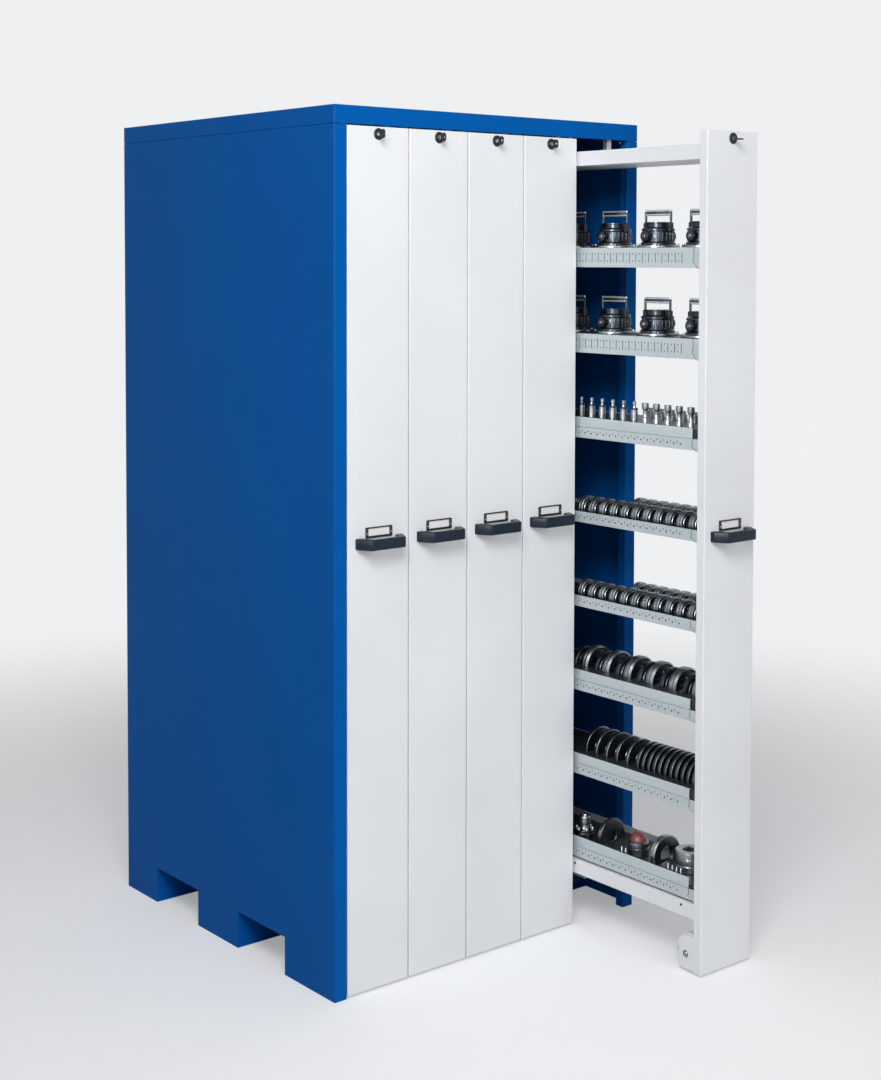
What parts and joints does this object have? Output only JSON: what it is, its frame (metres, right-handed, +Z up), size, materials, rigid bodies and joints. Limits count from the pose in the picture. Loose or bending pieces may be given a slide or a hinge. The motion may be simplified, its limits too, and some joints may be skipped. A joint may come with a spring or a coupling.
{
  "type": "punch tool cabinet",
  "caption": "Tall blue steel cabinet with upright white pull-outs on floor wheels, drawn out in part to show trays of punches and dies.",
  "frame": {"origin": "on the floor, at the middle of the cabinet's footprint", "axes": "+X to the right along the front, +Y from the front to the back, +Z up; the front faces -Y"},
  "size_m": [0.92, 1.367, 1.95],
  "materials": {
    "blue_paint": "satin powder coat",
    "white_paint": "satin powder coat",
    "galvanized_steel": "dull zinc sheet",
    "nylon": "natural nylon",
    "wheel_nylon": "beige nylon",
    "rubber": "matt black rubber",
    "zinc_steel": "zinc plated",
    "black_plastic": "matt black plastic",
    "tool_steel": "ground and oiled steel",
    "blackened_steel": "black oxide steel",
    "handle_plastic": "fine grained dark blue-grey plastic",
    "lock_black": "black enamel on zinc casting",
    "key_black": "black coated key and steel plug"
  },
  "bodies": {
    "cabinet": {"left_side_panel": "blue_paint", "right_side_panel": "blue_paint", "back_panel": "blue_paint", "top_cap": "blue_paint", "fork_channels": "blue_paint", "base_skids": "blue_paint", "lower_rails": "galvanized_steel", "rail_liners": "nylon", "guide_posts": "galvanized_steel", "glide_blocks": "nylon", "stop_buffers": "rubber", "back_screws": "zinc_steel"},
    "pull_out_1": {"front_panel_1": "white_paint", "frame_1": "white_paint", "trays_1": "galvanized_steel", "handle_1": "handle_plastic", "label_holder_1": "handle_plastic", "lock_1": "lock_black"},
    "wheel_pair_1": {"floor_wheels_1": "wheel_nylon"},
    "key_turn_1": {"key_1": "key_black"},
    "pull_out_2": {"front_panel_2": "white_paint", "frame_2": "white_paint", "trays_2": "galvanized_steel", "handle_2": "handle_plastic", "label_holder_2": "handle_plastic", "lock_2": "lock_black"},
    "wheel_pair_2": {"floor_wheels_2": "wheel_nylon"},
    "key_turn_2": {"key_2": "key_black"},
    "pull_out_3": {"front_panel_3": "white_paint", "frame_3": "white_paint", "trays_3": "galvanized_steel", "handle_3": "handle_plastic", "label_holder_3": "handle_plastic", "lock_3": "lock_black"},
    "wheel_pair_3": {"floor_wheels_3": "wheel_nylon"},
    "key_turn_3": {"key_3": "key_black"},
    "pull_out_4": {"front_panel_4": "white_paint", "frame_4": "white_paint", "trays_4": "galvanized_steel", "handle_4": "handle_plastic", "label_holder_4": "handle_plastic", "lock_4": "lock_black"},
    "wheel_pair_4": {"floor_wheels_4": "wheel_nylon"},
    "key_turn_4": {"key_4": "key_black"},
    "pull_out_5": {"front_panel_5": "white_paint", "frame_5": "white_paint", "trays_5": "galvanized_steel", "handle_5": "handle_plastic", "label_holder_5": "handle_plastic", "lock_5": "lock_black", "tray_inserts": "galvanized_steel", "tool_holders": "black_plastic", "punches": "tool_steel", "small_die_rings": "tool_steel", "large_die_rings": "tool_steel", "thin_discs": "tool_steel", "tool_cassettes": "blackened_steel", "mixed_dies": "tool_steel"},
    "wheel_pair_5": {"floor_wheels_5": "wheel_nylon"},
    "key_turn_5": {"key_5": "key_black"}
  },
  "joints": [
    {"name": "slide_1", "type": "slide", "parent": "cabinet", "child": "pull_out_1", "axis": [0, -1, 0], "range_m": [0, 0.77]},
    {"name": "roll_1", "type": "hinge", "parent": "pull_out_1", "child": "wheel_pair_1", "pos_m": [-0.3408, -0.41, 0.0428], "axis": [1, 0, 0], "range_deg": [0, 1039]},
    {"name": "key_1_turn", "type": "hinge", "parent": "pull_out_1", "child": "key_turn_1", "pos_m": [-0.3408, -0.456, 1.891], "axis": [0, 1, 0], "range_deg": [0, 90]},
    {"name": "slide_2", "type": "slide", "parent": "cabinet", "child": "pull_out_2", "axis": [0, -1, 0], "range_m": [0, 0.77]},
    {"name": "roll_2", "type": "hinge", "parent": "pull_out_2", "child": "wheel_pair_2", "pos_m": [-0.1704, -0.41, 0.0428], "axis": [1, 0, 0], "range_deg": [0, 1039]},
    {"name": "key_2_turn", "type": "hinge", "parent": "pull_out_2", "child": "key_turn_2", "pos_m": [-0.1704, -0.456, 1.891], "axis": [0, 1, 0], "range_deg": [0, 90]},
    {"name": "slide_3", "type": "slide", "parent": "cabinet", "child": "pull_out_3", "axis": [0, -1, 0], "range_m": [0, 0.77]},
    {"name": "roll_3", "type": "hinge", "parent": "pull_out_3", "child": "wheel_pair_3", "pos_m": [0, -0.41, 0.0428], "axis": [1, 0, 0], "range_deg": [0, 1039]},
    {"name": "key_3_turn", "type": "hinge", "parent": "pull_out_3", "child": "key_turn_3", "pos_m": [0, -0.456, 1.891], "axis": [0, 1, 0], "range_deg": [0, 90]},
    {"name": "slide_4", "type": "slide", "parent": "cabinet", "child": "pull_out_4", "axis": [0, -1, 0], "range_m": [0, 0.77]},
    {"name": "roll_4", "type": "hinge", "parent": "pull_out_4", "child": "wheel_pair_4", "pos_m": [0.1704, -0.41, 0.0428], "axis": [1, 0, 0], "range_deg": [0, 1039]},
    {"name": "key_4_turn", "type": "hinge", "parent": "pull_out_4", "child": "key_turn_4", "pos_m": [0.1704, -0.456, 1.891], "axis": [0, 1, 0], "range_deg": [0, 90]},
    {"name": "slide_5", "type": "slide", "parent": "cabinet", "child": "pull_out_5", "axis": [0, -1, 0], "range_m": [-0.413, 0.357]},
    {"name": "roll_5", "type": "hinge", "parent": "pull_out_5", "child": "wheel_pair_5", "pos_m": [0.3408, -0.823, 0.0428], "axis": [1, 0, 0], "range_deg": [-557, 482]},
    {"name": "key_5_turn", "type": "hinge", "parent": "pull_out_5", "child": "key_turn_5", "pos_m": [0.3408, -0.869, 1.891], "axis": [0, 1, 0], "range_deg": [-90, 0]}
  ],
  "couplings": [
    {"joint": "roll_1", "follows": "slide_1", "rad_per_m": 23.529},
    {"joint": "roll_2", "follows": "slide_2", "rad_per_m": 23.529},
    {"joint": "roll_3", "follows": "slide_3", "rad_per_m": 23.529},
    {"joint": "roll_4", "follows": "slide_4", "rad_per_m": 23.529},
    {"joint": "roll_5", "follows": "slide_5", "rad_per_m": 23.529}
  ]
}
